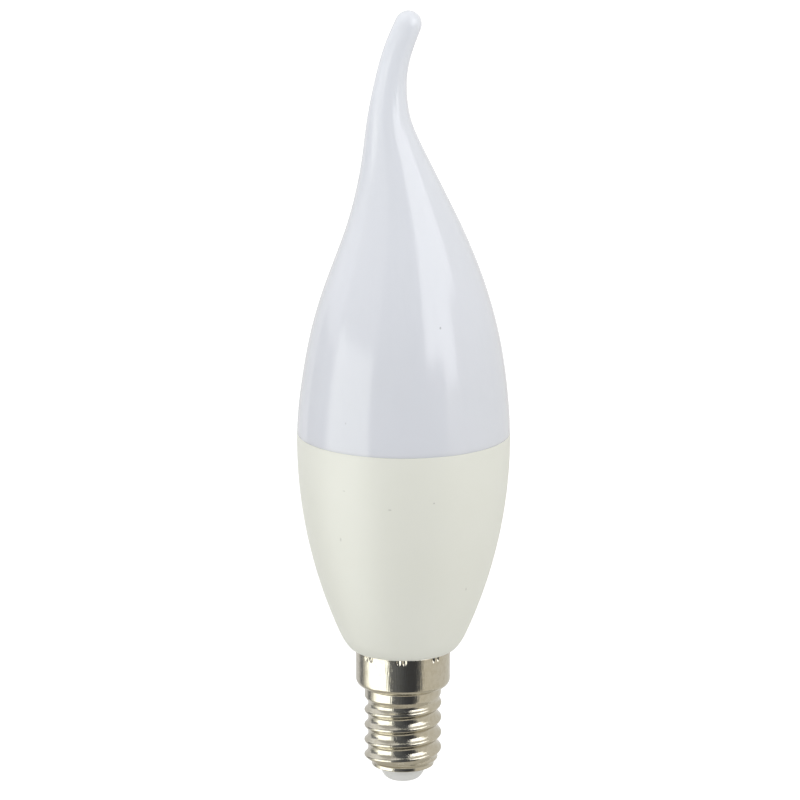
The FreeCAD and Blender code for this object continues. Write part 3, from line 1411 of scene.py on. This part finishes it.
@dataclass
class Studio:
    """White studio: floor, bright surround, lamps, reflector boards and camera.

    Attributes:
        target: The point that the camera looks at.
        elevation: How far above level the camera stands, in degrees.
        distance: How far off it stands.
        frame_width: How much of the lamp's plane its picture takes in.
        roll: How far it is turned about its own line of sight, in degrees.
        view_reach: How far it sees, in metres.
        floor_level: The floor's level, far enough down to keep the lamp's shadow
            below the picture, as in the photograph.
        floor_half_width: Half the floor's side, in metres.
        floor_glow: What is added to the floor's own light where it is seen, so
            that it shows white.
        surround: The surround's strength as a light; where it is seen it is 1.
        lamp_aim: The height at which the lamps are aimed, in metres.
        board_columns: How many strips a board has across, and board_rows up.
    """

    target: tuple[float, float, float] = (-0.655, 0.0, 70.99)
    elevation: float = 14.0
    distance: float = 1000.0
    frame_width: float = PIXEL_WIDTH * PHOTO_PIXELS
    roll: float = 0.14
    view_reach: float = 20.0
    floor_level: float = -60.0
    floor_half_width: float = 6.0
    floor_white: str = "#DFDFDF"
    floor_glow: float = 0.45
    floor_roughness: float = 0.9
    surround: float = 0.88
    lamp_aim: float = 0.07
    board_columns: int = 48
    board_rows: int = 24
    panels: tuple[Panel, ...] = (
        Panel("left_softbox", ((-88, "#FDFFF9"), (-38, "#FDFFF9")),
              low=-14, high=10.5, glow=2.15),
        Panel("left_table_far", ((-92, "#FDFFF9"), (-37, "#FDFFF9")),
              low=-18, high=-14, glow=2.25),
        Panel("left_table_glow", ((-131, "#64645F"), (-98, "#B4B3AC"),
                                  (-93, "#FDFFF9"), (-37, "#FDFFF9")),
              low=-58, high=-18, glow=2.25),
        Panel("left_rear_board", ((-128, "#AEB0B4"), (-92, "#AEB0B4")),
              low=-18, high=5, glow=0.8),
        Panel("left_upper_board", ((-92, "#CAC9C6"), (-34, "#C4C3C0")),
              low=10.5, high=60),
        Panel("right_softbox", ((26, "#FFFFFF"), (64, "#FFFFFF")),
              low=2, high=20, glow=2.5),
        Panel("right_upper_softbox", ((14, "#FFFFFF"), (82, "#FFFFFF")),
              low=20, high=48, glow=2.3),
        Panel("front_board", ((-37, "#8E9093"), (-12, "#74777B"), (8, "#53555A"),
                              (32, "#4B4C50"), (47, "#8A8B8C")),
              low=-66, high=9, glow=0.8),
        Panel("front_upper_board", ((-34, "#74777B"), (24, "#53555A")),
              low=9, high=75, glow=0.8),
        Panel("rear_board", ((-128, "#9C9DA0"), (-109, "#9C9DA0")),
              low=-44, high=-28, glow=0.8, distance=0.15),
        Panel("room", ((47, "#DFDACC"), (229, "#E0E0E0")),
              low=-58, high=80, distance=0.8),
        Panel("table", ((-180, "#C6C2B6"), (180, "#C6C2B6")),
              low=-88, high=-58, lift=0.015),
    )
    lamps: tuple[Lamp, ...] = (
        Lamp("left_key", (-1.0, 0.2, 0.25), width=0.9, power=1.5),
        Lamp("right_fill", (1.0, 0.15, 0.4), width=0.9, power=1.0),
        Lamp("top_fill", (0.0, -0.5, 0.7), width=0.5, power=1.05),
    )

    def build(self) -> None:
        """Set up everything round the lamp."""
        self.place_camera()
        self.lay_floor()
        self.light_surround()
        for panel in self.panels:
            self.hang(panel)
        for lamp in self.lamps:
            self.hang_lamp(lamp)
        bpy.context.scene.view_settings.view_transform = "Standard"

    def place_camera(self) -> None:
        """Aim a long lens at the lamp from slightly above."""
        camera = bpy.data.cameras.new("photo_camera")
        camera.lens = camera.sensor_width * self.distance / self.frame_width
        camera.clip_end = self.view_reach
        holder = add_object("photo_camera", camera)
        rise = math.radians(self.elevation)
        back = Vector((0, -math.cos(rise), math.sin(rise)))
        eye = (Vector(self.target) + back * self.distance) * MM
        aim = (-back).to_track_quat("-Z", "Y").to_matrix().to_4x4()
        tilt = Matrix.Rotation(math.radians(self.roll), 4, "Z")
        holder.matrix_world = Matrix.Translation(eye) @ aim @ tilt
        bpy.context.scene.camera = holder

    def lay_floor(self) -> None:
        """Lay the white floor that the lamp's shadow falls on."""
        half, level = self.floor_half_width, self.floor_level * MM
        ways = ((-1, -1), (1, -1), (1, 1), (-1, 1))
        corners = [(half * across, half * along, level) for across, along in ways]
        mesh = bpy.data.meshes.new("studio_floor")
        mesh.from_pydata(corners, [], [(0, 1, 2, 3)])
        material = bpy.data.materials.new("matt_white_floor")
        material.use_nodes = True
        tree = material.node_tree
        shader = tree.nodes["Principled BSDF"]
        shader.inputs["Base Color"].default_value = linear(self.floor_white)
        shader.inputs["Roughness"].default_value = self.floor_roughness
        shader.inputs["Emission Color"].default_value = (1, 1, 1, 1)
        glow = add_node(
            tree, "ShaderNodeMath",
            {0: ray_shows(tree), 1: self.floor_glow},
            operation="MULTIPLY",
        )
        tree.links.new(glow.outputs[0], shader.inputs["Emission Strength"])
        mesh.materials.append(material)
        floor = add_object("studio_floor", mesh)

    def light_surround(self) -> None:
        """Make the surround white where it is seen, and softer as a light."""
        world = bpy.data.worlds.new("white_surround")
        world.use_nodes = True
        tree = world.node_tree
        strength = add_node(
            tree, "ShaderNodeMapRange",
            {"Value": ray_shows(tree), "To Min": self.surround, "To Max": 1.0},
        )
        sky = tree.nodes["Background"]
        sky.inputs["Color"].default_value = (1, 1, 1, 1)
        tree.links.new(strength.outputs[0], sky.inputs["Strength"])
        bpy.context.scene.world = world

    def hang(self, panel: Panel) -> None:
        """Hang a curved board that only reflections show.

        Args:
            panel: What the board is and where it stands.
        """
        width = self.board_columns + 1
        turns = np.linspace(panel.tones[0][0], panel.tones[-1][0], width)
        rises = np.linspace(panel.low, panel.high, self.board_rows + 1)
        faces = [
            (corner, corner + 1, corner + width + 1, corner + width)
            for row in range(self.board_rows)
            for corner in range(row * width, row * width + self.board_columns)
        ]
        mesh = bpy.data.meshes.new(panel.name)
        mesh.from_pydata(self.board_points(panel, turns, rises), [], faces)
        tones = mesh.color_attributes.new("tone", "FLOAT_COLOR", "POINT")
        for index, point in enumerate(tones.data):
            point.color = panel.tone(turns[index % width])
        material = bpy.data.materials.new(f"{panel.name}_surface")
        material.use_nodes = True
        tree = material.node_tree
        tree.nodes.clear()
        tone = add_node(tree, "ShaderNodeVertexColor", layer_name="tone")
        glow = add_node(
            tree, "ShaderNodeEmission",
            {"Color": tone.outputs["Color"], "Strength": panel.glow},
        )
        add_node(tree, "ShaderNodeOutputMaterial", {"Surface": glow.outputs[0]})
        mesh.materials.append(material)
        board = add_object(panel.name, mesh)
        board.visible_camera = False
        board.visible_diffuse = False
        board.visible_shadow = False
        board.visible_transmission = False

    def board_points(
        self, panel: Panel, turns: Sequence[float], rises: Sequence[float]
    ) -> list[Vector]:
        """Place a board's points, none of them below the floor.

        Args:
            panel: What the board is and where it stands.
            turns: The directions of its columns, in degrees.
            rises: The elevations of its rows, in degrees.

        Returns:
            The points, row by row from the lowest.
        """
        middle = self.target[2] * MM
        room = (middle - self.floor_level * MM) * (1 - panel.lift)
        points = []
        for rise in np.radians(rises):
            reach = panel.distance
            if rise < 0:
                reach = min(reach, room / -math.sin(rise))
            level = middle + reach * math.sin(rise)
            out = reach * math.cos(rise)
            points += [
                Vector((out * math.sin(turn), -out * math.cos(turn), level))
                for turn in np.radians(turns)
            ]
        return points

    def hang_lamp(self, lamp: Lamp) -> None:
        """Hang a soft lamp that is aimed at the middle of the bulb.

        Args:
            lamp: What the lamp is and where it hangs.
        """
        light = bpy.data.lights.new(lamp.name, "AREA")
        light.size = lamp.width
        light.energy = lamp.power
        holder = add_object(lamp.name, light)
        holder.location = lamp.place
        aim = Vector((0, 0, self.lamp_aim)) - Vector(lamp.place)
        holder.rotation_euler = aim.to_track_quat("-Z", "Y").to_euler()
        holder.visible_camera = False
        holder.visible_glossy = False


def main() -> None:
    """Load the frame, build the studio and the pieces, and log the solids and each
    piece's face count.
    """
    logging.basicConfig(level=logging.INFO, format="%(name)s %(message)s")
    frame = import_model()
    LOG.info("frame: %s", ", ".join(sorted(frame["nodes"])))
    Studio().build()
    body = BodySweep()
    for part in (
        FlameDiffuser(body),
        LampHousing(body),
        ScrewShell(),
        CapInsulator(),
        CentreContact(),
    ):
        part.build()


if __name__ == "__main__":
    main()
